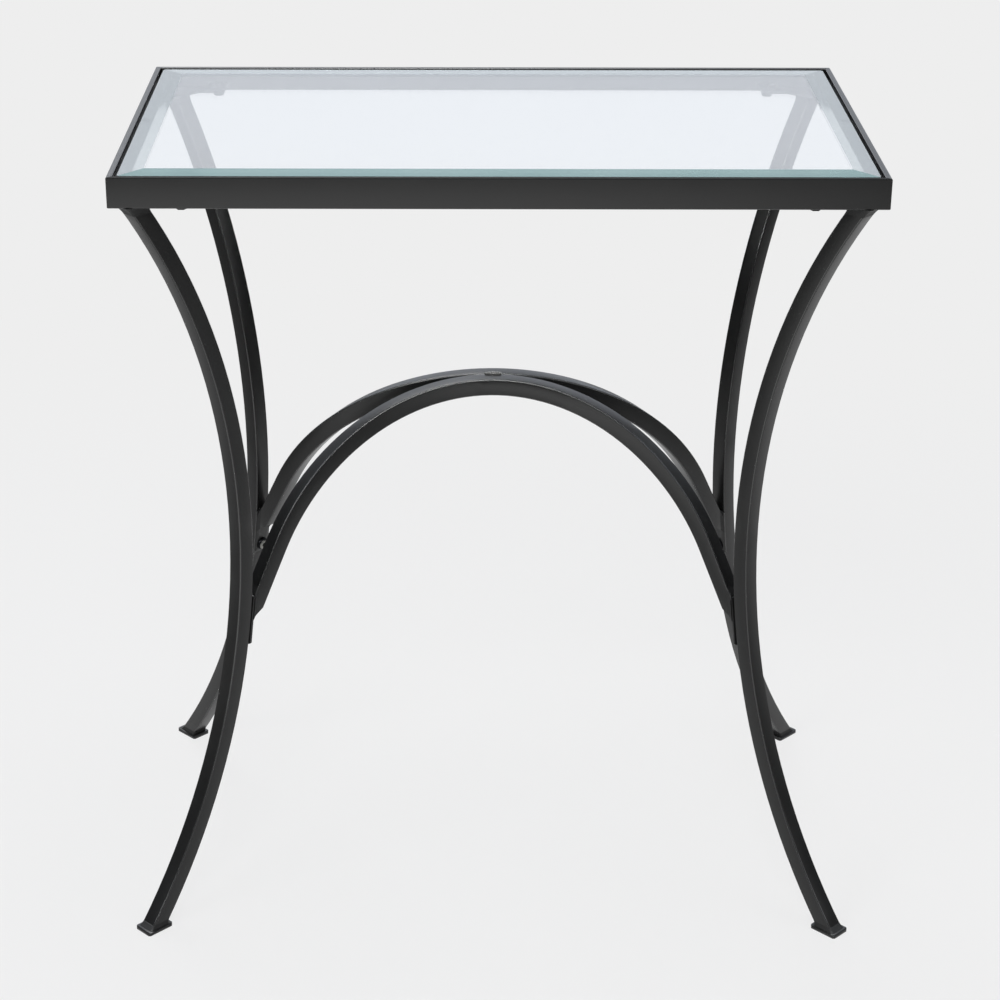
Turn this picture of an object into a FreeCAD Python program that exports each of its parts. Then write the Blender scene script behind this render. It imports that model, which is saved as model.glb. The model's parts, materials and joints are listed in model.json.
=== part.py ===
"""Side table: a bevelled glass top in a steel frame on four bowed legs,
which two double-curved arches tie together below the middle.

Millimetres. X runs along the table's length, Y along its depth and Z up.
The origin is on the floor under the middle of the top.
"""
import FreeCAD
import Part

import math
import os

V = FreeCAD.Vector
UP = V(0, 0, 1)

# Overall size of the top, and the height of its upper face
WIDTH = 610.0
DEPTH = 356.0
HEIGHT = 686.0

# Frame: four flat bars on edge, mitred at the corners
RAIL_HEIGHT = 25.0
RAIL_THICKNESS = 4.8
RAIL_EDGE_CUT = 0.7

# Glass: loose in the frame, level with the bars, its upper edge ground to a wide bevel
GLASS_THICKNESS = 6.0
GLASS_CLEARANCE = 2.8
GLASS_CORNER_CUT = 2.0
BEVEL_WIDTH = 19.0
BEVEL_DROP = 0.8

# Ledge under the glass, with the clear square bumpers that the glass rests on
LEDGE_WIDTH = 12.0
LEDGE_THICKNESS = 3.0
BUMPER_WIDTH = 8.0
BUMPER_CORNER_CUT = 1.5
BUMPER_THICKNESS = 1.0
BUMPER_FROM_CORNER = 60.0

# Square tube of the legs and the arches
TUBE = 15.0
TUBE_WALL = 1.5
TUBE_EDGE_CUT = 1.2

# Legs: arcs in upright planes that cut the corners at 45 degrees, nearest to each other at the waist
LEG_ARC_RADIUS = 560.0
LEG_INSET_X = 17.9
LEG_INSET_Y = 11.9
LEG_WAIST_SHARE = 0.5

# Foot plates
FOOT_LENGTH = 26.5
FOOT_WIDTH = 19.5
FOOT_THICKNESS = 3.0
FOOT_CORNER_CUT = 1.5

# Corner plate that carries a leg inside the frame, with an ear along each bar
PLATE_THICKNESS = 3.0
PLATE_CLEARANCE = 0.2
PLATE_LEG = 55.6
EAR_WIDTH = 11.0
EAR_REACH = 62.5
EAR_CORNER_CUT = 3.0

# Threaded tabs welded inside the bars over the ears
TAB_LENGTH = 16.0
TAB_WIDTH = 12.0
TAB_THICKNESS = 4.0

# Hexagon-head screws through the ears into the tabs
SCREW_DIAMETER = 5.0
SCREW_ACROSS_FLATS = 8.0
SCREW_HEAD_HEIGHT = 2.8
SCREW_POINT = 1.5
HOLE_CLEARANCE = 0.3
THREAD_CLEARANCE = 0.1

# Brackets: thin flat plates between the arches and the legs
BRACKET_WIDTH = 16.0
BRACKET_LENGTH = 45.0
BRACKET_THICKNESS = 2.0
BRACKET_CORNER_CUT = 1.5
BRACKET_MIDDLE_HEIGHT = 264.5

# Button-head bolts that hold the brackets, with threaded inserts in the legs
BOLT_DIAMETER = 6.0
BOLT_HEAD_DIAMETER = 12.0
BOLT_HEAD_HEIGHT = 3.6
BOLT_CROWN_SHARE = 0.55
BOLT_RIM_SHARE = 0.35
BOLT_BELOW_MIDDLE = 15.0
BOLT_LENGTH = 11.0
INSERT_ACROSS_FLATS = 9.0
INSERT_LENGTH = 10.0

# Arches: upright square tube. In front view it is round with straight ends that lean outwards, by an angle in
# degrees, and in plan it is bowed until the crowns touch. Each end is mitred flat onto its bracket, and its
# thin lower tip is cut off over the bolt.
ARCH_CROWN_HEIGHT = 449.5
ARCH_MEET_HEIGHT = 265.0
ARCH_END_LEAN = 23.0
ARCH_NOSE_HEIGHT = 266.0
ARCH_NOSE_RISE = 12.0
CROWN_GAP = 0.1
ARCH_ROUND_STATIONS = 9
ARCH_END_STATIONS = 3

# Weld bead along the seam between the crowns
WELD_LENGTH = 15.0
WELD_WIDTH = 6.0
WELD_RISE = 1.8
WELD_END_RISE = 0.5
WELD_TAPER = 3.0
WELD_CLEARANCE = 0.1

# One overrun for all cuts
OVERRUN = 5.0

# Heights that follow from the sizes above
FRAME_BOTTOM = HEIGHT - RAIL_HEIGHT
GLASS_BOTTOM = HEIGHT - GLASS_THICKNESS
LEDGE_BOTTOM = GLASS_BOTTOM - BUMPER_THICKNESS - LEDGE_THICKNESS
WAIST_HEIGHT = HEIGHT * LEG_WAIST_SHARE
PLATE_TOP = FRAME_BOTTOM + PLATE_THICKNESS

# The pieces of a corner are made at the back right one, and mirrored to the others
CORNERS = {
    "back_right": (),
    "back_left": (V(1, 0, 0),),
    "front_right": (V(0, 1, 0),),
    "front_left": (V(1, 0, 0), V(0, 1, 0)),
}
OUTWARD = V(1, 1, 0).normalize()
ACROSS = V(-1, 1, 0).normalize()


def export(name, shape):
    """Write one node's solids."""
    os.makedirs("parts", exist_ok=True)
    shape.exportStep("parts/" + name + ".step")
    print(name, len(shape.Solids), "solid(s)", round(shape.Volume), "mm3", "valid", shape.isValid())


def at_corner(shape, mirrors):
    """Mirror a corner's piece through the middle planes named for that corner."""
    for normal in mirrors:
        shape = shape.mirror(V(0, 0, 0), normal)
    return shape


def at_all_corners(shape):
    """One group with a separate copy of each of the shape's solids at every corner."""
    copies = []
    for mirrors in CORNERS.values():
        copies.extend(at_corner(shape, mirrors).Solids)
    return Part.makeCompound(copies)


def rectangle(centre, along, across, length, width, cut=0.0):
    """A rectangle about a centre, in the plane of two unit directions, its corners cut off at 45 degrees."""
    ends = []
    for a, b in ((1, -1), (1, 1), (-1, 1), (-1, -1)):
        corner = centre + along * (a * length / 2) + across * (b * width / 2)
        from_across = corner - along * (a * cut)
        from_along = corner - across * (b * cut)
        ends.extend((from_along, from_across) if a * b > 0 else (from_across, from_along))
    points = ends if cut > 0 else ends[::2]
    return Part.makePolygon([*points, points[0]])


def tube_face(centre, along, across):
    """The leg's section: a square with eased corners, less its bore."""
    bore = TUBE - 2 * TUBE_WALL
    outer = Part.Face(rectangle(centre, along, across, TUBE, TUBE, TUBE_EDGE_CUT))
    return outer.cut(Part.Face(rectangle(centre, along, across, bore, bore)))


def half_space(point, direction, reach):
    """A cutter with one flat face at a point, which lies on the side that a direction names."""
    return Part.makeCylinder(reach, reach, point, direction)


def hexagonal_prism(centre, along, across, across_flats, height):
    """A hexagonal prism that stands on a centre, in the plane of two unit directions."""
    corner_reach = across_flats / 2 / math.cos(math.radians(30))
    turns = [math.radians(60 * i) for i in range(6)]
    corners = [centre + (along * math.cos(a) + across * math.sin(a)) * corner_reach for a in turns]
    return Part.Face(Part.makePolygon([*corners, corners[0]])).extrude(height)


# Frame and ledge


def mitred_strip(length, depth, width, bottom, height, edge_cut, side):
    """One side of a mitred rectangular ring whose outer size is length by depth."""
    if side in ("front", "back"):
        reach, offset, normal = length / 2, depth / 2, V(0, 1, 0)
        run = V(1, 0, 0)
    else:
        reach, offset, normal = depth / 2, length / 2, V(1, 0, 0)
        run = V(0, 1, 0)
    if side in ("front", "left"):
        normal = normal * -1
    middle = normal * (offset - width / 2) + UP * (bottom + height / 2)
    section = Part.Face(rectangle(middle - run * reach, normal, UP, width, height, edge_cut))
    bar = section.extrude(run * (2 * reach))
    outline = [
        normal * offset - run * reach,
        normal * offset + run * reach,
        normal * (offset - width) + run * (reach - width),
        normal * (offset - width) - run * (reach - width),
    ]
    outline = [point + UP * (bottom - OVERRUN) for point in outline]
    wedge = Part.Face(Part.makePolygon([*outline, outline[0]]))
    return bar.common(wedge.extrude(UP * (height + 2 * OVERRUN)))


INNER_WIDTH = WIDTH - 2 * RAIL_THICKNESS
INNER_DEPTH = DEPTH - 2 * RAIL_THICKNESS
for side in ("front", "back", "left", "right"):
    rail = mitred_strip(WIDTH, DEPTH, RAIL_THICKNESS, FRAME_BOTTOM, RAIL_HEIGHT, RAIL_EDGE_CUT, side)
    export(side + "_rail", rail)
    ledge = mitred_strip(INNER_WIDTH, INNER_DEPTH, LEDGE_WIDTH, LEDGE_BOTTOM, LEDGE_THICKNESS, 0, side)
    export(side + "_ledge", ledge)

# Glass top and its bumpers


def glass_top():
    """A sheet with eased corners, whose upper edge slopes down all round."""
    width = INNER_WIDTH - 2 * GLASS_CLEARANCE
    depth = INNER_DEPTH - 2 * GLASS_CLEARANCE
    edge = GLASS_THICKNESS - BEVEL_DROP
    x, y = V(1, 0, 0), V(0, 1, 0)
    sheet = Part.Face(rectangle(UP * GLASS_BOTTOM, x, y, width, depth, GLASS_CORNER_CUT))
    sheet = sheet.extrude(UP * GLASS_THICKNESS)
    bevel_foot = rectangle(UP * (GLASS_BOTTOM + edge), x, y, width, depth)
    flat = rectangle(UP * HEIGHT, x, y, width - 2 * BEVEL_WIDTH, depth - 2 * BEVEL_WIDTH)
    crown = Part.makeLoft([bevel_foot, flat], True, True)
    slab = Part.Face(rectangle(UP * GLASS_BOTTOM, x, y, width, depth)).extrude(UP * edge)
    return sheet.common(slab.fuse(crown))


export("glass_top", glass_top())

ledge_middle_x = INNER_WIDTH / 2 - LEDGE_WIDTH / 2
ledge_middle_y = INNER_DEPTH / 2 - LEDGE_WIDTH / 2
bumper_places = [(-ledge_middle_x, 0), (ledge_middle_x, 0)]
for x in (-ledge_middle_x + BUMPER_FROM_CORNER, 0, ledge_middle_x - BUMPER_FROM_CORNER):
    bumper_places.extend([(x, -ledge_middle_y), (x, ledge_middle_y)])
bumpers = []
for x, y in bumper_places:
    base = V(x, y, GLASS_BOTTOM - BUMPER_THICKNESS)
    outline = rectangle(base, V(1, 0, 0), V(0, 1, 0), BUMPER_WIDTH, BUMPER_WIDTH, BUMPER_CORNER_CUT)
    bumpers.append(Part.Face(outline).extrude(UP * BUMPER_THICKNESS))
export("glass_bumpers", Part.makeCompound(bumpers))

# Corner plates, tabs and screws

PLATE_EDGE_X = INNER_WIDTH / 2 - PLATE_CLEARANCE
PLATE_EDGE_Y = INNER_DEPTH / 2 - PLATE_CLEARANCE
SCREW_FROM_CORNER = EAR_REACH - EAR_WIDTH / 2
EAR_MIDDLE = RAIL_THICKNESS + PLATE_CLEARANCE + EAR_WIDTH / 2
SCREW_PLACES = (
    V(WIDTH / 2 - SCREW_FROM_CORNER, DEPTH / 2 - EAR_MIDDLE, 0),
    V(WIDTH / 2 - EAR_MIDDLE, DEPTH / 2 - SCREW_FROM_CORNER, 0),
)


def corner_plate():
    """A triangle that fills the frame's corner, with an ear along each bar, drilled for its screw."""
    corner = V(PLATE_EDGE_X, PLATE_EDGE_Y, FRAME_BOTTOM)
    ear_length = EAR_REACH - RAIL_THICKNESS - PLATE_CLEARANCE
    slope_start = PLATE_LEG - EAR_WIDTH - 2 * (RAIL_THICKNESS + PLATE_CLEARANCE)
    half_outline = [
        V(ear_length - EAR_CORNER_CUT, 0, 0),
        V(ear_length, EAR_CORNER_CUT, 0),
        V(ear_length, EAR_WIDTH - EAR_CORNER_CUT, 0),
        V(ear_length - EAR_CORNER_CUT, EAR_WIDTH, 0),
        V(slope_start, EAR_WIDTH, 0),
    ]
    other_half = [V(point.y, point.x, 0) for point in reversed(half_outline)]
    outline = [corner, *[corner - point for point in (*half_outline, *other_half)], corner]
    plate = Part.Face(Part.makePolygon(outline)).extrude(UP * PLATE_THICKNESS)
    for place in SCREW_PLACES:
        hole_radius = SCREW_DIAMETER / 2 + HOLE_CLEARANCE
        plate = plate.cut(Part.makeCylinder(hole_radius, PLATE_THICKNESS, place + UP * FRAME_BOTTOM))
    return plate


def corner_tabs():
    """The two threaded tabs of a corner, each against the inner face of its bar."""
    tabs = []
    hole_radius = SCREW_DIAMETER / 2 + THREAD_CLEARANCE
    sizes = ((TAB_LENGTH, TAB_WIDTH), (TAB_WIDTH, TAB_LENGTH))
    for place, (length, width) in zip(SCREW_PLACES, sizes):
        along_x = length == TAB_LENGTH
        left = place.x - length / 2 if along_x else INNER_WIDTH / 2 - length
        near = INNER_DEPTH / 2 - width if along_x else place.y - width / 2
        tab = Part.makeBox(length, width, TAB_THICKNESS, V(left, near, PLATE_TOP))
        tabs.append(tab.cut(Part.makeCylinder(hole_radius, TAB_THICKNESS, place + UP * PLATE_TOP)))
    return Part.makeCompound(tabs)


def corner_screws():
    """The two screws of a corner, driven from below."""
    length = PLATE_THICKNESS + TAB_THICKNESS + SCREW_POINT
    screws = []
    for place in SCREW_PLACES:
        seat = place + UP * FRAME_BOTTOM
        head = hexagonal_prism(seat, V(1, 0, 0), V(0, 1, 0), SCREW_ACROSS_FLATS, UP * -SCREW_HEAD_HEIGHT)
        screws.append(head.fuse(Part.makeCylinder(SCREW_DIAMETER / 2, length, seat)))
    return Part.makeCompound(screws)


plate = corner_plate()
for corner, mirrors in CORNERS.items():
    export(corner + "_leg_plate", at_corner(plate, mirrors))
export("frame_tabs", at_all_corners(corner_tabs()))
export("plate_screws", at_all_corners(corner_screws()))

# Legs and feet


def leg_reach(height):
    """How far in from its arc's centre the leg's centreline stands at a height."""
    return math.sqrt(LEG_ARC_RADIUS ** 2 - (height - WAIST_HEIGHT) ** 2)


leg_top = V(WIDTH / 2 - LEG_INSET_X, DEPTH / 2 - LEG_INSET_Y, WAIST_HEIGHT)
ARC_CENTRE = leg_top + OUTWARD * leg_reach(FRAME_BOTTOM)


def leg_direction(angle):
    """The direction from the arc's centre to the leg, at an angle above the waist."""
    return OUTWARD * -math.cos(angle) + UP * math.sin(angle)


def leg_tangent(angle):
    """The direction that the leg climbs in, at an angle above the waist."""
    return OUTWARD * math.sin(angle) + UP * math.cos(angle)


def leg_tube():
    """The bent tube, cut level where it meets the foot plate and the frame."""
    low = -math.asin((WAIST_HEIGHT - FOOT_THICKNESS) / LEG_ARC_RADIUS) - TUBE / LEG_ARC_RADIUS
    high = math.asin((FRAME_BOTTOM - WAIST_HEIGHT) / LEG_ARC_RADIUS) + TUBE / LEG_ARC_RADIUS
    section = tube_face(ARC_CENTRE + leg_direction(0) * LEG_ARC_RADIUS, OUTWARD, ACROSS)
    section.rotate(ARC_CENTRE, ACROSS, math.degrees(low))
    tube = section.revolve(ARC_CENTRE, ACROSS, math.degrees(high - low))
    band = Part.makeBox(WIDTH, WIDTH, FRAME_BOTTOM - FOOT_THICKNESS, V(0, 0, FOOT_THICKNESS))
    return tube.common(band)


def foot_plate():
    """A flat plate under the leg, longer along the leg's plane."""
    middle = ARC_CENTRE - OUTWARD * leg_reach(FOOT_THICKNESS)
    middle.z = 0
    outline = rectangle(middle, OUTWARD, ACROSS, FOOT_LENGTH, FOOT_WIDTH, FOOT_CORNER_CUT)
    return Part.Face(outline).extrude(UP * FOOT_THICKNESS)


# Brackets, bolts and inserts

INNER_ARC_RADIUS = LEG_ARC_RADIUS + TUBE / 2
BRACKET_ANGLE = math.asin((BRACKET_MIDDLE_HEIGHT - WAIST_HEIGHT) / INNER_ARC_RADIUS)
INWARD = leg_direction(BRACKET_ANGLE)
CLIMB = leg_tangent(BRACKET_ANGLE)
BRACKET_MIDDLE = ARC_CENTRE + INWARD * INNER_ARC_RADIUS
BOLT_PLACE = BRACKET_MIDDLE - CLIMB * BOLT_BELOW_MIDDLE


def bracket():
    """A plate that touches the bowed leg at its middle, drilled for its bolt."""
    outline = rectangle(BRACKET_MIDDLE, CLIMB, ACROSS, BRACKET_LENGTH, BRACKET_WIDTH, BRACKET_CORNER_CUT)
    plate = Part.Face(outline).extrude(INWARD * BRACKET_THICKNESS)
    hole_radius = BOLT_DIAMETER / 2 + HOLE_CLEARANCE
    return plate.cut(Part.makeCylinder(hole_radius, BRACKET_THICKNESS, BOLT_PLACE, INWARD))


def bolt():
    """The bolt, through the bracket into the leg's insert. Its domed head has a straight rim and a flat crown."""
    shank_radius = BOLT_DIAMETER / 2
    shank_length = BRACKET_THICKNESS + BOLT_LENGTH
    rim_radius = BOLT_HEAD_DIAMETER / 2
    profile = [
        V(0, 0, -shank_length),
        V(shank_radius, 0, -shank_length),
        V(shank_radius, 0, 0),
        V(rim_radius, 0, 0),
        V(rim_radius, 0, BOLT_HEAD_HEIGHT * BOLT_RIM_SHARE),
        V(rim_radius * BOLT_CROWN_SHARE, 0, BOLT_HEAD_HEIGHT),
        V(0, 0, BOLT_HEAD_HEIGHT),
    ]
    body = Part.Face(Part.makePolygon([*profile, profile[0]])).revolve(V(0, 0, 0), UP, 360)
    head_seat = BOLT_PLACE + INWARD * BRACKET_THICKNESS
    body.Placement = FreeCAD.Placement(head_seat, FreeCAD.Rotation(UP, INWARD))
    return body


def insert_blank():
    """The hexagonal prism that the insert fills in the leg's inner wall."""
    return hexagonal_prism(BOLT_PLACE, ACROSS, CLIMB, INSERT_ACROSS_FLATS, INWARD * -INSERT_LENGTH)


def insert():
    """The threaded hexagonal insert, which can't turn in its hole."""
    return insert_blank().cut(Part.makeCylinder(BOLT_DIAMETER / 2 + THREAD_CLEARANCE, INSERT_LENGTH,
                                                BOLT_PLACE, INWARD * -1))


leg = leg_tube().cut(insert_blank())
foot = foot_plate()
arch_bracket = bracket()
for corner, mirrors in CORNERS.items():
    export(corner + "_leg", at_corner(leg, mirrors))
    export(corner + "_foot", at_corner(foot, mirrors))
    export(corner + "_bracket", at_corner(arch_bracket, mirrors))
export("bracket_bolts", at_all_corners(bolt()))
export("leg_inserts", at_all_corners(insert()))

# Arches

# The arch's centreline meets the bracket's inner face here, in the leg's own plane
BRACKET_SEAT = BRACKET_MIDDLE + INWARD * BRACKET_THICKNESS
CROWN_OFFSET = TUBE / 2 + CROWN_GAP / 2


def on_seat(height):
    """The point at a height on the middle line of the bracket's inner face."""
    return BRACKET_SEAT + CLIMB * ((height - BRACKET_SEAT.z) / CLIMB.z)


ARCH_END = on_seat(ARCH_MEET_HEIGHT)

# In plan the centreline is one arc from the crown to the ends
PLAN_SAG = ARCH_END.y - CROWN_OFFSET
PLAN_RADIUS = (ARCH_END.x ** 2 + PLAN_SAG ** 2) / (2 * PLAN_SAG)

# In front view an arc turns down until it leans as the straight ends do
LEAN = math.radians(ARCH_END_LEAN)
ARC_TURN = math.pi / 2 - LEAN
ARCH_RISE = ARCH_CROWN_HEIGHT - ARCH_MEET_HEIGHT
arc_reach = math.cos(LEAN) - math.tan(LEAN) * (1 - math.sin(LEAN))
ARCH_RADIUS = (ARCH_END.x - ARCH_RISE * math.tan(LEAN)) / arc_reach
ARCH_CENTRE_HEIGHT = ARCH_CROWN_HEIGHT - ARCH_RADIUS
STRAIGHT = (ARCH_CENTRE_HEIGHT + ARCH_RADIUS * math.sin(LEAN) - ARCH_MEET_HEIGHT) / math.cos(LEAN)
print("arch: plan radius", round(PLAN_RADIUS, 1), "front radius", round(ARCH_RADIUS, 1), "straight end",
      round(STRAIGHT, 1))


def arch_station(distance):
    """The back arch's centreline at a distance along it from the crown, with its section's two directions."""
    turn = min(abs(distance) / ARCH_RADIUS, ARC_TURN)
    beyond = abs(distance) - turn * ARCH_RADIUS
    x = math.copysign(ARCH_RADIUS * math.sin(turn) + beyond * math.cos(turn), distance)
    height = ARCH_CENTRE_HEIGHT + ARCH_RADIUS * math.cos(turn) - beyond * math.sin(turn)
    root = math.sqrt(PLAN_RADIUS ** 2 - x ** 2)
    point = V(x, CROWN_OFFSET + PLAN_RADIUS - root, height)
    run = V(1, x / root, 0) * math.cos(turn) - UP * math.copysign(math.sin(turn), distance)
    side = V(-x / root, 1, 0).normalize()
    return point, side, side.cross(run).normalize()


def arch_piece(start, end, stations, size, cut):
    """A square bar along a stretch of the centreline, through evenly spaced stations."""
    sections = []
    for i in range(stations):
        point, side, top = arch_station(start + (end - start) * i / (stations - 1))
        sections.append(rectangle(point, top, side, size, size, cut))
    return Part.makeLoft(sections, True, False)


def arch_bar(size, cut):
    """The round stretch of an arch and its two straight ends, which run on past the brackets."""
    bend_end = ARCH_RADIUS * ARC_TURN
    tip = bend_end + STRAIGHT + 2 * TUBE
    right_end = arch_piece(bend_end, tip, ARCH_END_STATIONS, size, cut)
    left_end = right_end.mirror(V(0, 0, 0), V(1, 0, 0))
    return arch_piece(-bend_end, bend_end, ARCH_ROUND_STATIONS, size, cut).fuse([left_end, right_end])


def arch_cutters():
    """What ends the arch at its bracket: the bracket's face, and the slanting cut across its tip."""
    beyond_seat = half_space(BRACKET_SEAT, INWARD * -1, BRACKET_LENGTH)
    downward = (INWARD * ARCH_NOSE_RISE - CLIMB * TUBE).normalize()
    below_nose = half_space(on_seat(ARCH_NOSE_HEIGHT), downward, 2 * TUBE)
    right = beyond_seat.fuse(below_nose)
    return right.fuse(right.mirror(V(0, 0, 0), V(1, 0, 0)))


cutters = arch_cutters()
back_arch = arch_bar(TUBE, TUBE_EDGE_CUT).cut(arch_bar(TUBE - 2 * TUBE_WALL, 0)).cut(cutters)
front_arch = back_arch.mirror(V(0, 0, 0), V(0, 1, 0))
export("back_arch", back_arch)
export("front_arch", front_arch)

# Crown weld


def crown_weld():
    """A bead with tapered ends that fills the groove between the two crowns and stands a little proud."""
    half = WELD_LENGTH / 2
    sections = []
    for x, rise, width in (
        (-half, WELD_END_RISE, WELD_WIDTH / 2),
        (-half + WELD_TAPER, WELD_RISE, WELD_WIDTH),
        (half - WELD_TAPER, WELD_RISE, WELD_WIDTH),
        (half, WELD_END_RISE, WELD_WIDTH / 2),
    ):
        crown = ARCH_CENTRE_HEIGHT + math.sqrt((ARCH_RADIUS + TUBE / 2) ** 2 - x ** 2) + WELD_CLEARANCE
        groove = TUBE_EDGE_CUT + arch_station(x)[0].y - TUBE / 2
        outline = [
            V(x, -width / 2, crown),
            V(x, -width / 4, crown + rise),
            V(x, width / 4, crown + rise),
            V(x, width / 2, crown),
            V(x, groove, crown),
            V(x, 0, crown - groove),
            V(x, -groove, crown),
        ]
        sections.append(Part.makePolygon([*outline, outline[0]]))
    return Part.makeLoft(sections, True, True)


export("crown_weld", crown_weld())
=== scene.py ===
# %% [markdown]
# # A glass-topped side table, dressed for its portrait
#
# The table's steel and glass come in as a finished model at real size, in metres. This lesson gives them
# their surfaces, adds the small things that a maker leaves behind, such as weld beads, sets up a pale
# studio, and puts the camera where the photographer stood.

# %% Load the table
import json
import math

import bmesh
import bpy
from mathutils import Matrix, Vector

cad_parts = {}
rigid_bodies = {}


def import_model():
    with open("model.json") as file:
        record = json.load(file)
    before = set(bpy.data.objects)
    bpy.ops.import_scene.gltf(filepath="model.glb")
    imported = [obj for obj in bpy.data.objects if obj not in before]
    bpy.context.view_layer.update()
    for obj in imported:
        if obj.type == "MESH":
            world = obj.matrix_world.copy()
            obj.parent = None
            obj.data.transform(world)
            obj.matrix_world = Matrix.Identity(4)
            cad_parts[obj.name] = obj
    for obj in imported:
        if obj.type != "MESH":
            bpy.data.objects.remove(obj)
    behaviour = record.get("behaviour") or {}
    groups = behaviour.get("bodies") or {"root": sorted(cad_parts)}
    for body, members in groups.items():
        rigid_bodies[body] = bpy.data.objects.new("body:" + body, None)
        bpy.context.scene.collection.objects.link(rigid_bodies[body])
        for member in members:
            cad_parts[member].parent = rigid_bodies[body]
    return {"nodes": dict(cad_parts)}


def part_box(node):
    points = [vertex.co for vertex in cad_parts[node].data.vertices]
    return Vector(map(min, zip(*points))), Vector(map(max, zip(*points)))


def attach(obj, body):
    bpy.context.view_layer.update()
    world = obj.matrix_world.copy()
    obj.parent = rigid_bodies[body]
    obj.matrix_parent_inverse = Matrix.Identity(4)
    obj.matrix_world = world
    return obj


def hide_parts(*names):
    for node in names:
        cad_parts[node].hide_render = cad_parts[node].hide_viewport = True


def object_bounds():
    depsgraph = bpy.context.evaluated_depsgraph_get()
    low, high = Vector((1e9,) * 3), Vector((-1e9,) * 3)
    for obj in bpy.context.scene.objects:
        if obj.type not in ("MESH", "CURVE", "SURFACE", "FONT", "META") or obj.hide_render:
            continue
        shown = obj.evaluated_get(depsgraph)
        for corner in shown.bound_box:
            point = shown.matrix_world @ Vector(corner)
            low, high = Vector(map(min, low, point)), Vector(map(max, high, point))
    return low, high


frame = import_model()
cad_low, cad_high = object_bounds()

nodes = frame["nodes"]
scene = bpy.context.scene
MM = 0.001
print("table box, metres:", tuple(cad_low), tuple(cad_high))

# %% [markdown]
# ## Small helpers
#
# Colours are picked on screen, so they are written as sRGB hex values, and one function turns them into
# the linear numbers that a renderer adds and multiplies. A second one puts a shader node into a material
# with its settings and its links in one call, which keeps each material readable from top to bottom.

# %% Colour and node helpers


def linear(hex_colour):
    """An sRGB hex colour as linear red, green, blue and an alpha of 1."""
    channels = [int(hex_colour[i:i + 2], 16) / 255 for i in (1, 3, 5)]
    lit = [c / 12.92 if c <= 0.04045 else ((c + 0.055) / 1.055) ** 2.4 for c in channels]
    return (*lit, 1.0)


def add(material, kind, inputs=None, **settings):
    """Add a shader node. A value in inputs is a number, a colour, or another node's output socket."""
    node = material.node_tree.nodes.new(kind)
    for name, value in settings.items():
        setattr(node, name, value)
    for name, value in (inputs or {}).items():
        if isinstance(value, bpy.types.NodeSocket):
            material.node_tree.links.new(value, node.inputs[name])
        else:
            node.inputs[name].default_value = value
    return node


def new_material(name):
    """An empty node material and its output node."""
    material = bpy.data.materials.new(name)
    material.use_nodes = True
    material.node_tree.nodes.clear()
    output = add(material, "ShaderNodeOutputMaterial")
    return material, output


def plug(material, source, target):
    """Link one socket to another."""
    material.node_tree.links.new(source, target)


# %% [markdown]
# ## Powder-coated steel
#
# Bars, tubes and plates are taken to be mild steel with a baked powder coat. The powder melts into a
# satin skin: black underneath, with a soft sheen of the room on top. Seen close, such a skin has a faint
# orange peel, ripples a millimetre or two apart. Noise in object coordinates gives that peel, and faint
# clouds in the sheen, at their real size, so that the grain doesn't stretch on a long tube. Edges, welds
# and the near bar's top get powder coats of their own further down.

# %% Powder coat
PAINT_COLOUR = "#0f0f0f"
PAINT_WORN = "#181817"
PAINT_ROUGHNESS = 0.3
PEEL_SPACING = 1.6 * MM
CLOUD_SPACING = 45 * MM
SHEEN_DRIFT = 0.03
PEEL_DEPTH = 0.05 * MM


def powder_coat(name, colour, worn, roughness, peel, ior=1.5):
    """Satin black powder coat with orange peel and faint clouds in its sheen."""
    material, output = new_material(name)
    place = add(material, "ShaderNodeTexCoord")
    clouds = add(material, "ShaderNodeTexNoise",
                 {"Vector": place.outputs["Object"], "Scale": 1 / CLOUD_SPACING, "Detail": 3.0})
    tint = add(material, "ShaderNodeMix",
               {"Factor": clouds.outputs["Fac"], "A": linear(colour), "B": linear(worn)}, data_type="RGBA")
    sheen = add(material, "ShaderNodeMapRange",
                {"Value": clouds.outputs["Fac"], "To Min": roughness - SHEEN_DRIFT,
                 "To Max": roughness + SHEEN_DRIFT})
    grain = add(material, "ShaderNodeTexNoise",
                {"Vector": place.outputs["Object"], "Scale": 1 / PEEL_SPACING, "Detail": 2.0})
    bump = add(material, "ShaderNodeBump",
               {"Height": grain.outputs["Fac"], "Strength": peel, "Distance": PEEL_DEPTH})
    coat = add(material, "ShaderNodeBsdfPrincipled",
               {"Base Color": tint.outputs["Result"], "Roughness": sheen.outputs["Result"], "IOR": ior,
                "Normal": bump.outputs["Normal"]})
    plug(material, coat.outputs["BSDF"], output.inputs["Surface"])
    return material


paint = powder_coat("powder_coated_steel", PAINT_COLOUR, PAINT_WORN, PAINT_ROUGHNESS, 0.35)
# The edges' coat is a little lighter than the rest, a painted highlight along each edge.
edge_highlight_paint = powder_coat("powder_coat_over_edges_with_painted_highlight", "#151515", "#212120", 0.25, 0.15, ior=1.7)
dull_paint = powder_coat("powder_coat_thin_and_dull", PAINT_COLOUR, PAINT_WORN, 0.6, 0.35, ior=1.2)
fillet_paint = powder_coat("powder_coat_over_fillets", PAINT_COLOUR, PAINT_WORN, 0.6, 0.3)
# The weld bead's light grey is a painted highlight on the bead.
weld_bead_highlight_paint = powder_coat("painted_weld_bead", "#4a4a48", "#62625f", 0.5, 0.5, ior=1.8)
print("materials:", paint.name, edge_highlight_paint.name, dull_paint.name, fillet_paint.name, weld_bead_highlight_paint.name)

# %% [markdown]
# ## Black oxide screws, zinc inserts and clear bumpers
#
# The bolts and screws are given the look of hardened steel that was blackened in a hot salt bath, a thin
# dark skin that is a little metallic. The inserts are zinc plated, and the bumpers are square pads of
# clear soft polyurethane. None of the inserts or bumpers can be told from the picture.

# %% Small fittings' materials
HAZE_SPACING = 3 * MM
GLOSS_DRIFT = 0.08


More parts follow.
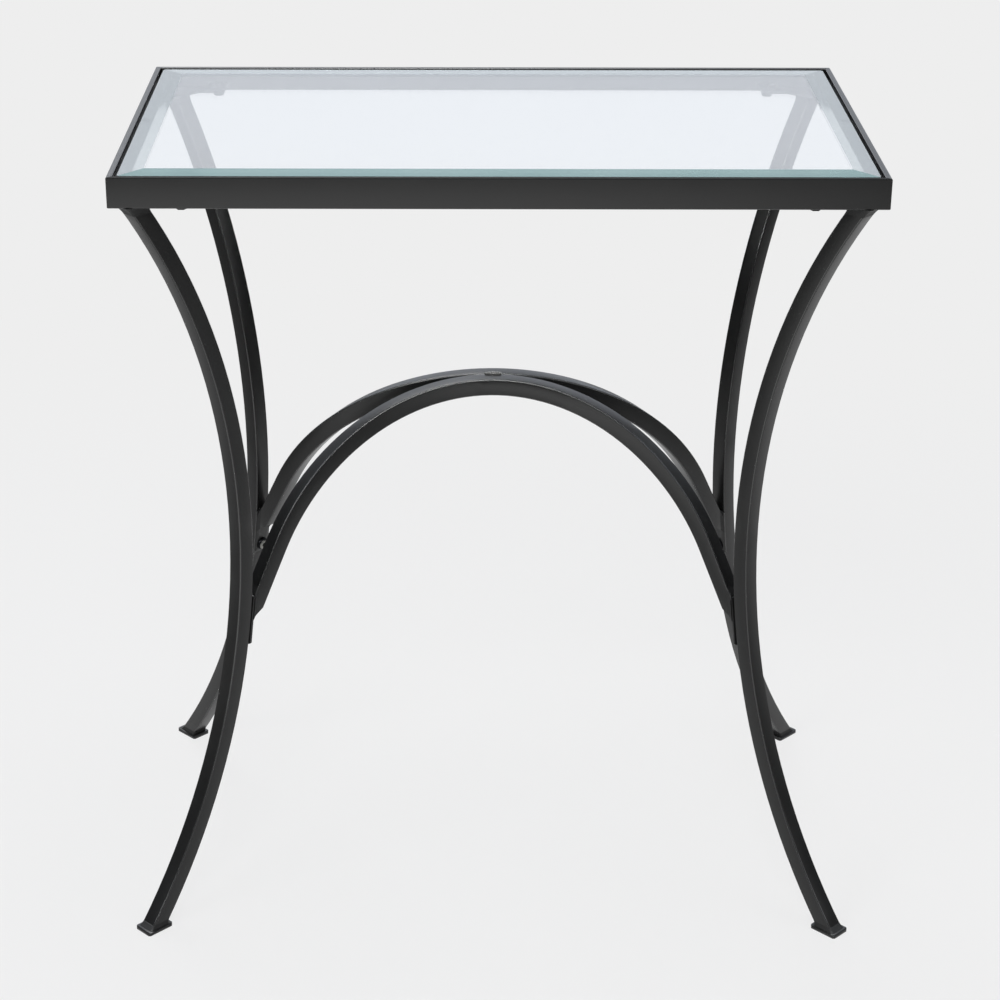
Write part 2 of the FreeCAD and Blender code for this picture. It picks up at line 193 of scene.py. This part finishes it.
def plain_metal(name, colour, roughness, spacing):
    """A metal whose fine tumbling marks show as slight changes of gloss."""
    material, output = new_material(name)
    place = add(material, "ShaderNodeTexCoord")
    marks = add(material, "ShaderNodeTexNoise",
                {"Vector": place.outputs["Object"], "Scale": 1 / spacing, "Detail": 4.0})
    gloss = add(material, "ShaderNodeMapRange",
                {"Value": marks.outputs["Fac"], "To Min": roughness - GLOSS_DRIFT,
                 "To Max": roughness + GLOSS_DRIFT})
    skin = add(material, "ShaderNodeBsdfPrincipled",
               {"Base Color": linear(colour), "Metallic": 1.0, "Roughness": gloss.outputs["Result"]})
    plug(material, skin.outputs["BSDF"], output.inputs["Surface"])
    return material


def clear_rubber(name):
    """Soft clear polyurethane with a slightly cloudy body."""
    material, output = new_material(name)
    place = add(material, "ShaderNodeTexCoord")
    haze = add(material, "ShaderNodeTexNoise",
               {"Vector": place.outputs["Object"], "Scale": 1 / HAZE_SPACING})
    gloss = add(material, "ShaderNodeMapRange",
                {"Value": haze.outputs["Fac"], "To Min": 0.15, "To Max": 0.3})
    body = add(material, "ShaderNodeBsdfPrincipled",
               {"Base Color": linear("#eef2f0"), "Roughness": gloss.outputs["Result"], "IOR": 1.5,
                "Transmission Weight": 0.8})
    plug(material, body.outputs["BSDF"], output.inputs["Surface"])
    return material


black_oxide = plain_metal("black_oxide_steel", "#1e1e20", 0.38, 1.2 * MM)
rubbed_steel = plain_metal("rubbed_bolt_steel", "#8a8a86", 0.3, 0.7 * MM)
zinc = plain_metal("zinc_plated_steel", "#c9c9c4", 0.35, 0.8 * MM)
bumper = clear_rubber("clear_polyurethane")

# %% [markdown]
# ## Float glass
#
# The top is a sheet of ordinary float glass. A trace of iron makes it green where light runs a long way
# through it, which is at its edges and bevels. Seen from the front, it mirrors a good part of the white
# room and veils what is under it. Plain glass mirrors less than the portrait shows, so a coat with a high
# index is laid over it. The real sheet needn't have a coat.

# %% Glass
GLASS_IOR = 1.52
COAT_IOR = 2.0


def float_glass(name, colour):
    """Clear polished glass that mirrors more of the room as it is seen at a lower angle."""
    material, output = new_material(name)
    body = add(material, "ShaderNodeBsdfPrincipled",
               {"Base Color": linear(colour), "Roughness": 0.0, "IOR": GLASS_IOR,
                "Transmission Weight": 1.0, "Coat Weight": 1.0, "Coat Roughness": 0.0,
                "Coat IOR": COAT_IOR})
    plug(material, body.outputs["BSDF"], output.inputs["Surface"])
    return material


glass = float_glass("float_glass", "#fdffff")

# %% [markdown]
# The bevel is a wide, very flat chamfer. It lies over the steel ledge, so hardly any light comes up
# through it, and what is seen in it is a mirror of the room and the glass's own tint. The one nearest the
# viewer is the greenest in the portrait. A milky share in the glass is painted reflection: it stands for
# the many small reflections between bevel, edge and ledge, and its colour comes in three painted tints,
# one for the near bevel, one for the sides and one for the far bevel. Its amount and the three tints are
# matched to the picture.

# %% Bevelled glass
BEVEL_CLOUDS = 120 * MM


def bevelled_glass(name, colour, clear_share, roughness):
    """Polished bevel, so much of it clear, the rest milky with a colour of painted reflection."""
    material, output = new_material(name)
    place = add(material, "ShaderNodeTexCoord")
    cloud = add(material, "ShaderNodeTexNoise",
                {"Vector": place.outputs["Object"], "Scale": 1 / BEVEL_CLOUDS, "Detail": 1.0})
    tint = add(material, "ShaderNodeMix",
               {"Factor": cloud.outputs["Fac"], "A": linear(colour), "B": linear("#ffffff")},
               data_type="RGBA")
    fade = add(material, "ShaderNodeMapRange",
               {"Value": cloud.outputs["Fac"], "To Min": 0.0, "To Max": 0.12})
    plug(material, fade.outputs["Result"], tint.inputs["Factor"])
    body = add(material, "ShaderNodeBsdfPrincipled",
               {"Base Color": tint.outputs["Result"], "Roughness": roughness, "IOR": GLASS_IOR,
                "Transmission Weight": clear_share})
    plug(material, body.outputs["BSDF"], output.inputs["Surface"])
    return material


# Three tints of painted reflection, one for the near bevel, one for the sides and one for the far bevel.
front_bevel = bevelled_glass("bevelled_glass_near_painted_reflection", "#527c7a", 0.35, 0.1)
side_bevel = bevelled_glass("bevelled_glass_side_painted_reflection", "#adb5b8", 0.6, 0.1)
back_bevel = bevelled_glass("bevelled_glass_far_painted_reflection", "#b9c2c4", 0.5, 0.1)

# %% Give every piece its finish
FINISHES = {"glass_top": glass, "glass_bumpers": bumper, "plate_screws": black_oxide,
            "bracket_bolts": black_oxide, "leg_inserts": zinc, "crown_weld": weld_bead_highlight_paint}
for name, piece in nodes.items():
    finish = FINISHES.get(name, paint)
    piece.data.materials.clear()
    piece.data.materials.append(finish)

# %% [markdown]
# Powder pulls away from an edge while it melts, so the coat is thinner and glossier there. Its colour
# there is a little lighter than the rest, a painted highlight for the bright line that runs along each
# edge. The eased edges are the model's narrowest facets, so a triangle that is low for its length gets
# the edge's finish. The test is rough: it also takes a few slim triangles that lie on the flats of a
# curved tube. The near bar's narrow top looks dark in the portrait, so it gets a finish that reflects
# little. Indices of refraction other than 1.5 on the painted finishes are settings for the look, not
# properties of the powder.

# %% Edges and the near bar's top
EDGE_WIDTH = 2.2 * MM


def height_of(mesh, face):
    """How high a face stands over its longest side."""
    corners = [mesh.vertices[index].co for index in face.vertices]
    longest = max((a - b).length for a, b in zip(corners, corners[1:] + corners[:1]))
    return 2 * face.area / longest


edge_faces = 0
for name, piece in nodes.items():
    if not name.endswith(("_leg", "_arch", "_rail")):
        continue
    piece.data.materials.append(edge_highlight_paint)
    for face in piece.data.polygons:
        if height_of(piece.data, face) < EDGE_WIDTH:
            face.material_index = 1
            edge_faces += 1
near_bar = nodes["front_rail"].data
near_bar.materials.append(dull_paint)
for face in near_bar.polygons:
    if face.normal.z > 0.5:
        face.material_index = 2
print("edge faces:", edge_faces)

# %% The bevel's own slots
NEARLY_FLAT = 0.99999
top_glass = nodes["glass_top"].data
for finish in (front_bevel, side_bevel, back_bevel):
    top_glass.materials.append(finish)
slanted = [face for face in top_glass.polygons if 0.5 < face.normal.z < NEARLY_FLAT]
for face in slanted:
    if abs(face.normal.x) > abs(face.normal.y):
        face.material_index = 2
    else:
        face.material_index = 1 if face.normal.y < 0 else 3
print("bevel faces:", len(slanted))

# %% [markdown]
# ## Softer edges
#
# Rolled tube and flat bar have eased edges that catch the light in a thin line. The model has them as
# narrow facets. When the loose triangles are welded and each point's normal leans to the larger faces
# beside it, the flats stay flat and the facets shade as round edges.

# %% Smooth shading over the eased edges
JOIN = 0.01 * MM
AREA_WEIGHT = 100


def lean_normals(piece):
    """Lean each point's normal to the larger faces beside it."""
    soften = piece.modifiers.new("lean_normals", "WEIGHTED_NORMAL")
    soften.mode = "FACE_AREA"
    soften.weight = AREA_WEIGHT
    soften.keep_sharp = True


for name, piece in nodes.items():
    if name == "glass_top":
        continue
    for face in piece.data.polygons:
        face.use_smooth = True
    weld = piece.modifiers.new("join_triangles", "WELD")
    weld.merge_threshold = JOIN
    lean_normals(piece)

# %% [markdown]
# ## Weld fillets
#
# Every tube is welded to the plate that it stands on or hangs from, and each arch end to its bracket. The
# bead runs all the way round, and under the powder it looks like the tube itself, flared: a small concave
# fillet. So each fillet is made from the tube. A copy of it is cut by two planes beside the seat, only
# its outer skin is kept, and the rings near the seat are widened most.

# %% A tube's end, flared to a fillet
FLARE_POWER = 2.2
SHARP_ANGLE = math.radians(50)
SEAT_CLEARANCE = 0.1 * MM
SKIN = 0.05 * MM
ROW_SHARES = (0.1, 0.22, 0.38, 0.6, 0.8)


def cut_across(mesh, place, way, **clear):
    """Cut a mesh by a plane, and drop one of its sides on request."""
    bmesh.ops.bisect_plane(mesh, geom=mesh.verts[:] + mesh.edges[:] + mesh.faces[:], dist=JOIN / 10,
                           plane_co=place, plane_no=way, **clear)


def outer_skin_only(mesh, axis_point, way):
    """Delete the bore: all that isn't joined to the point that lies furthest from the tube's middle."""
    def off_axis(vert):
        across = vert.co - axis_point
        return (across - across.dot(way) * way).length
    island, waiting = set(), [max(mesh.verts, key=off_axis)]
    while waiting:
        vert = waiting.pop()
        if vert in island:
            continue
        island.add(vert)
        waiting.extend(edge.other_vert(vert) for edge in vert.link_edges)
    bmesh.ops.delete(mesh, geom=[vert for vert in mesh.verts if vert not in island], context="VERTS")


def middle_at(mesh, place, way, distance):
    """The middle of the ring that lies at a distance from the seat."""
    ring = [vert.co for vert in mesh.verts if abs((vert.co - place).dot(way) - distance) < JOIN]
    return sum(ring, Vector()) / len(ring)


def weld_fillet(name, tube, place, way, height, flare):
    """The last stretch of a tube before its seat, widened towards the seat by a share of its width."""
    mesh = bmesh.new()
    mesh.from_mesh(nodes[tube].data)
    bmesh.ops.remove_doubles(mesh, verts=mesh.verts, dist=JOIN)
    cut_across(mesh, place + way * height, way, clear_outer=True)
    cut_across(mesh, place + way * SEAT_CLEARANCE, way, clear_inner=True)
    for share in ROW_SHARES:
        cut_across(mesh, place + way * height * share, way)
    centre = sum((vert.co for vert in mesh.verts), Vector()) / len(mesh.verts)
    outer_skin_only(mesh, centre, way)
    low = middle_at(mesh, place, way, SEAT_CLEARANCE)
    high = middle_at(mesh, place, way, height)
    for vert in mesh.verts:
        share = min(1, ((vert.co - place).dot(way) - SEAT_CLEARANCE) / (height - SEAT_CLEARANCE))
        middle = low.lerp(high, share)
        across = vert.co - middle
        vert.co = middle + across * (1 + flare * (1 - share) ** FLARE_POWER) + across.normalized() * SKIN
    bmesh.ops.holes_fill(mesh, edges=[edge for edge in mesh.edges if edge.is_boundary])
    bmesh.ops.recalc_face_normals(mesh, faces=mesh.faces)
    return finished_piece(name, mesh, fillet_paint)


def finished_piece(name, mesh, *materials):
    """Make a mesh an object of the stand, smooth but for its sharpest edges."""
    data = bpy.data.meshes.new(name)
    mesh.to_mesh(data)
    mesh.free()
    for material in materials:
        data.materials.append(material)
    data.shade_smooth()
    data.set_sharp_from_angle(angle=SHARP_ANGLE)
    piece = bpy.data.objects.new(name, data)
    scene.collection.objects.link(piece)
    lean_normals(piece)
    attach(piece, "stand")
    return piece


# %% Fillets at the feet, the corner plates and the arches' ends
FOOT_FILLET = (4 * MM, 0.11)
TOP_FILLET = (8 * MM, 0.25)
ARCH_FILLET = (3.5 * MM, 0.12)
CORNERS = [(depth, side) for depth in ("front", "back") for side in ("left", "right")]


def broad_face(node, way):
    """The largest face of a node that looks roughly along a direction."""
    facing = [face for face in nodes[node].data.polygons if face.normal.dot(way) > 0.7]
    return max(facing, key=lambda face: face.area)


for depth, side in CORNERS:
    corner = depth + "_" + side
    foot = broad_face(corner + "_foot", Vector((0, 0, 1)))
    weld_fillet(corner + "_foot_weld", corner + "_leg", foot.center, Vector((0, 0, 1)), *FOOT_FILLET)
    leg_top = Vector((0, 0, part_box(corner + "_leg")[1].z))
    weld_fillet(corner + "_top_weld", corner + "_leg", leg_top, Vector((0, 0, -1)), *TOP_FILLET)
    inward = Vector((1 if side == "left" else -1, 1 if depth == "front" else -1, 0)).normalized()
    seat = broad_face(corner + "_bracket", inward)
    weld_fillet(corner + "_arch_weld", depth + "_arch", seat.center, seat.normal, *ARCH_FILLET)
made = [piece for piece in scene.objects if piece.name.endswith("_weld") and piece not in nodes.values()]
print("weld fillets:", len(made))

# %% [markdown]
# ## The bead between the crowns
#
# The two arches are joined on top by one short bead in the groove between them. A hand-held torch leaves
# such a bead as a row of overlapping scales, one for each pulse. A flattened ball makes one scale, and a
# loop sets them along the groove, smaller at both ends where the torch starts and stops.

# %% Crown bead
SCALES = 7
SCALE_OVERLAP = 1.7
SCALE_SEGMENTS = 16
END_SHARE = 0.75
BEAD_LIFT = 0.2 * MM

bead_low, bead_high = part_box("crown_weld")
bead_middle = (Vector(bead_low) + Vector(bead_high)) / 2
bead_half = (Vector(bead_high) - Vector(bead_low)) / 2
scale_radius = bead_half.x / SCALES * SCALE_OVERLAP
bead = bmesh.new()
for number in range(SCALES):
    along = 2 * number / (SCALES - 1) - 1
    size = 1 - (1 - END_SHARE) * along ** 2
    place = bead_middle + Vector((along * (bead_half.x - scale_radius), 0, 0))
    spread = Matrix.Diagonal((scale_radius, bead_half.y * size, bead_half.z * size, 1))
    bmesh.ops.create_uvsphere(bead, u_segments=SCALE_SEGMENTS, v_segments=SCALE_SEGMENTS // 2, radius=1,
                              matrix=Matrix.Translation(place + Vector((0, 0, BEAD_LIFT))) @ spread)
# The bead's light grey finish is a painted highlight.
crown_bead = finished_piece("crown_bead", bead, weld_bead_highlight_paint)
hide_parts("crown_weld")
print("crown bead:", SCALES, "scales")

# %% [markdown]
# ## Bolt heads
#
# The round-headed bolts are driven by a hexagonal key. Such a head is forged: a low dome with a flat
# crown, and a six-sided pit punched in it. A hexagon whose sides are divided has as many points as a
# circle, so each row of points joins the next with four-sided faces: the pit's floor and wall, the flat
# crown and the dome. The key rubs the black finish off the pit and the crown around it, so these faces
# have a lighter slot of their own.

# %% Bolt heads with their sockets
HEAD_SEGMENTS = 48
SOCKET_RADIUS = 2.6 * MM
SOCKET_DEPTH = 2.4 * MM
PIT_ROUND = 0.25 * MM
WORN_SHARE = 0.8
DOME_SHARES = ((0.5, 1.0), (0.62, 0.97), (0.78, 0.84), (0.9, 0.66), (0.97, 0.46), (1.0, 0.3), (1.0, 0.0))


def loop_points(radius, height, six_sided):
    """The points of a circle, or of a hexagon whose sides are divided into as many points."""
    side = HEAD_SEGMENTS // 6
    points = []
    for number in range(HEAD_SEGMENTS):
        if six_sided:
            corner, share = divmod(number, side)
            start, stop = (Vector((math.cos(math.tau * k / 6), math.sin(math.tau * k / 6), 0))
                           for k in (corner, corner + 1))
            around = start.lerp(stop, share / side)
        else:
            turn = math.tau * number / HEAD_SEGMENTS
            around = Vector((math.cos(turn), math.sin(turn), 0))
        points.append(around * radius + Vector((0, 0, height)))
    return points


def bolt_head(radius, height, place):
    """One domed head with a six-sided socket, as a mesh of its own. The place's Z is the bolt's axis."""
    mesh = bmesh.new()
    rows = [loop_points(SOCKET_RADIUS - PIT_ROUND, height - SOCKET_DEPTH, True),
            loop_points(SOCKET_RADIUS - PIT_ROUND, height - PIT_ROUND, True),
            loop_points(SOCKET_RADIUS, height, True)]
    rows += [loop_points(radius * wide, height * tall, False) for wide, tall in DOME_SHARES]
    loops = [[mesh.verts.new(point) for point in row] for row in rows]
    mesh.faces.new(loops[0])
    for inner, outer in zip(loops, loops[1:]):
        for k in range(HEAD_SEGMENTS):
            after = (k + 1) % HEAD_SEGMENTS
            mesh.faces.new((inner[k], outer[k], outer[after], inner[after]))
    bmesh.ops.recalc_face_normals(mesh, faces=mesh.faces)
    for face in mesh.faces:
        if face.calc_center_median().xy.length < radius * WORN_SHARE:
            face.material_index = 1
    print("open edges:", sum(edge.is_boundary for edge in mesh.edges), "faces:", len(mesh.faces))
    bmesh.ops.transform(mesh, matrix=place, verts=mesh.verts)
    data = bpy.data.meshes.new("bolt_head")
    mesh.to_mesh(data)
    mesh.free()
    return data


bolts = bmesh.new()
bolts.from_mesh(nodes["bracket_bolts"].data)
bmesh.ops.remove_doubles(bolts, verts=bolts.verts, dist=JOIN)
heads = bmesh.new()
for depth, side in CORNERS:
    inward = Vector((1 if side == "left" else -1, 1 if depth == "front" else -1, 0)).normalized()
    seat = broad_face(depth + "_" + side + "_bracket", inward)
    own = [vert.co for vert in bolts.verts if vert.co.x * inward.x < 0 and vert.co.y * inward.y < 0]
    above = [co for co in own if (co - seat.center).dot(seat.normal) > JOIN]
    tall = max((co - seat.center).dot(seat.normal) for co in above)
    crown = [co for co in above if tall - (co - seat.center).dot(seat.normal) < JOIN]
    middle = sum(crown, Vector()) / len(crown)
    foot = middle - seat.normal * tall
    wide = max((co - foot - (co - foot).dot(seat.normal) * seat.normal).length for co in above)
    turn = seat.normal.to_track_quat("Z", "Y").to_matrix().to_4x4()
    heads.from_mesh(bolt_head(wide, tall, Matrix.Translation(foot) @ turn))
    print("bolt head", depth, side, round(wide / MM, 2), round(tall / MM, 2))
bolts.free()
bolt_heads = finished_piece("bolt_heads", heads, black_oxide, rubbed_steel)
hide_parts("bracket_bolts")

# %% [markdown]
# ## The studio
#
# The portrait was taken on a seamless pale sweep. The floor shows the camera the sweep's own grey and
# takes a little shadow. A mirror sees two pools of light in it instead, one under and behind the table
# and one ahead of it, because the steel's soft highlights in the portrait ask for them. Where the real
# lamps stood isn't known. These five soft ones and the pools were placed by comparing renders with the
# picture.

# %% Floor
SWEEP = "#eeeeee"
PAPER = "#d6d6d6"
SHADOW_SHARE = 0.12
SHADOW_RADIUS = 0.6
SHADOW_END_RADIUS = 1.6
LIT_CENTRE = (0.3, 0.95, 0.0)
LIT_RADIUS = 0.7
DARK_RADIUS = 2.0
DARK_SHARE = 0.2
FRONT_CENTRE = (-0.75, -1.9, 0.0)
FRONT_RADIUS = 1.0
FRONT_END_RADIUS = 1.9
FRONT_GLOW = 1.7


def seen_directly(material, with_mirrors):
    """1 for the camera's rays and those through glass, and on request for mirrored ones, or else 0."""
    path = add(material, "ShaderNodeLightPath")
    seen = add(material, "ShaderNodeMath",
               {0: path.outputs["Is Camera Ray"], 1: path.outputs["Is Transmission Ray"]},
               operation="MAXIMUM")
    if with_mirrors:
        seen = add(material, "ShaderNodeMath", {0: seen.outputs[0], 1: path.outputs["Is Glossy Ray"]},
                   operation="MAXIMUM")
    return seen.outputs[0]


def pool_of_light(material, place, centre, radius, end_radius, inside, outside):
    """A strength that goes smoothly from one value inside a circle on the floor to another outside."""
    away = add(material, "ShaderNodeVectorMath", {0: place.outputs["Object"], 1: centre},
               operation="DISTANCE")
    fall = add(material, "ShaderNodeMapRange",
               {"Value": away.outputs["Value"], "From Min": radius, "From Max": end_radius,
                "To Min": inside, "To Max": outside}, interpolation_type="SMOOTHSTEP")
    return fall.outputs["Result"]


def seamless_paper():
    """Paper of its own grey that takes a little shadow. Mirrored, it is dark but for two pools of light."""
    material, output = new_material("seamless_paper")
    place = add(material, "ShaderNodeTexCoord")
    under = pool_of_light(material, place, LIT_CENTRE, LIT_RADIUS, DARK_RADIUS, 1.0, DARK_SHARE)
    ahead = pool_of_light(material, place, FRONT_CENTRE, FRONT_RADIUS, FRONT_END_RADIUS, FRONT_GLOW, 0.0)
    mirrored = add(material, "ShaderNodeMath", {0: under, 1: ahead}, operation="MAXIMUM")
    strength = add(material, "ShaderNodeMix",
                   {"Factor": seen_directly(material, False), "A": mirrored.outputs[0], "B": 1.0},
                   data_type="FLOAT")
    glow = add(material, "ShaderNodeEmission",
               {"Color": linear(SWEEP), "Strength": strength.outputs["Result"]})
    matte = add(material, "ShaderNodeBsdfDiffuse", {"Color": linear(PAPER)})
    reach = add(material, "ShaderNodeVectorMath", {0: place.outputs["Object"]}, operation="LENGTH")
    own_grey = add(material, "ShaderNodeMapRange",
                   {"Value": reach.outputs["Value"], "From Min": SHADOW_RADIUS,
                    "From Max": SHADOW_END_RADIUS, "To Min": 1 - SHADOW_SHARE, "To Max": 1.0},
                   interpolation_type="SMOOTHSTEP")
    amount = add(material, "ShaderNodeMath",
                 {0: seen_directly(material, True), 1: own_grey.outputs["Result"]}, operation="MULTIPLY")
    mix = add(material, "ShaderNodeMixShader",
              {0: amount.outputs[0], 1: matte.outputs[0], 2: glow.outputs[0]})
    plug(material, mix.outputs[0], output.inputs["Surface"])
    return material


FLOOR_REACH = 12.0
sheet = bmesh.new()
bmesh.ops.create_grid(sheet, x_segments=1, y_segments=1, size=FLOOR_REACH)
floor_mesh = bpy.data.meshes.new("floor")
sheet.to_mesh(floor_mesh)
sheet.free()
floor = bpy.data.objects.new("floor", floor_mesh)
scene.collection.objects.link(floor)
floor.data.materials.append(seamless_paper())

# %% [markdown]
# The world is the room. To the camera it is the sweep's grey. A mirror sees a white wall behind the table
# and a white ceiling, with darkness to the left and right, which is what draws the dark faces of the legs
# beside their light ones. A world can't hold walls, so the direction in which a ray leaves stands for
# them. Matte faces get an even glow.

# %% World
ROOM_GLOW = 0.5
SIDE_GLOW = 0.05
ROOM_COLOUR = "#eef4fe"


def room():
    """A bright back wall and ceiling in mirrors, an even glow for matte faces, and the sweep's grey."""
    world = bpy.data.worlds.new("studio")
    world.use_nodes = True
    world.node_tree.nodes.clear()
    way = add(world, "ShaderNodeTexCoord")
    parts = add(world, "ShaderNodeSeparateXYZ", {0: way.outputs["Generated"]})
    behind = add(world, "ShaderNodeMapRange",
                 {"Value": parts.outputs["Y"], "From Min": 0.55, "From Max": 0.85,
                  "To Min": SIDE_GLOW, "To Max": 1.0}, interpolation_type="SMOOTHSTEP")
    above = add(world, "ShaderNodeMapRange",
                {"Value": parts.outputs["Z"], "From Min": 0.3, "From Max": 0.75,
                 "To Min": SIDE_GLOW, "To Max": 1.0}, interpolation_type="SMOOTHSTEP")
    mirrored = add(world, "ShaderNodeMath", {0: behind.outputs["Result"], 1: above.outputs["Result"]},
                   operation="MAXIMUM")
    path = add(world, "ShaderNodeLightPath")
    soft = add(world, "ShaderNodeMix", {"Factor": path.outputs["Is Glossy Ray"], "A": ROOM_GLOW,
                                        "B": mirrored.outputs[0]}, data_type="FLOAT")
    direct = seen_directly(world, False)
    strength = add(world, "ShaderNodeMath", {0: soft.outputs["Result"], 1: direct}, operation="MAXIMUM")
    colour = add(world, "ShaderNodeMix", {"Factor": direct, "A": linear(ROOM_COLOUR), "B": linear(SWEEP)},
                 data_type="RGBA")
    sky = add(world, "ShaderNodeBackground",
              {"Color": colour.outputs["Result"], "Strength": strength.outputs[0]})
    output = add(world, "ShaderNodeOutputWorld")
    plug(world, sky.outputs[0], output.inputs["Surface"])
    return world


scene.world = room()

# %% Lamps


def softbox(name, place, size, watts):
    """A square lamp that faces the middle of the table."""
    lamp = bpy.data.lights.new(name, "AREA")
    lamp.size = size
    lamp.energy = watts
    holder = bpy.data.objects.new(name, lamp)
    holder.location = place
    target = Vector((0, 0, cad_high.z / 2))
    holder.rotation_euler = (target - Vector(place)).to_track_quat("-Z", "Y").to_euler()
    scene.collection.objects.link(holder)
    return holder


softbox("key", (-2.2, -2.0, 2.2), 1.3, 50)
softbox("fill", (2.4, -1.4, 1.6), 1.6, 14)
softbox("back_top", (-0.6, 1.9, 2.6), 1.3, 34)
softbox("overhead", (0.2, 0.2, 3.0), 1.0, 26)
softbox("above_camera", (-0.2, -1.8, 2.3), 0.6, 24)

# %% [markdown]
# ## The camera
#
# The photographer stood a little over two metres away, if the table has the size given here, and looked
# down at about 24 degrees. The angles and the lens were found by matching the table's corners, legs and
# arches to the picture. The lens axis meets the picture a little left of its middle, so the lens is
# shifted by that share.

# %% Camera
CAMERA_PLACE = Vector((-33.4, -2039.0, 1230.9)) * MM
YAW, PITCH = math.radians(-0.37), math.radians(23.7)
FOCAL_PIXELS = 2483.2
AXIS_PIXEL = 440.0
IMAGE_PIXELS = 1000
SENSOR_WIDTH = 36.0

forward = Vector((math.sin(YAW) * math.cos(PITCH), math.cos(YAW) * math.cos(PITCH), -math.sin(PITCH)))
right = Vector((math.cos(YAW), -math.sin(YAW), 0))
up = right.cross(forward)
lens = bpy.data.cameras.new("camera")
lens.sensor_width = SENSOR_WIDTH
lens.lens = FOCAL_PIXELS / IMAGE_PIXELS * SENSOR_WIDTH
lens.shift_x = 0.5 - AXIS_PIXEL / IMAGE_PIXELS
camera = bpy.data.objects.new("camera", lens)
camera.matrix_world = Matrix.Translation(CAMERA_PLACE) @ Matrix((right, up, -forward)).transposed().to_4x4()
scene.collection.objects.link(camera)
scene.camera = camera
scene.view_settings.view_transform = "Standard"
print("lens", round(lens.lens, 1), "mm")
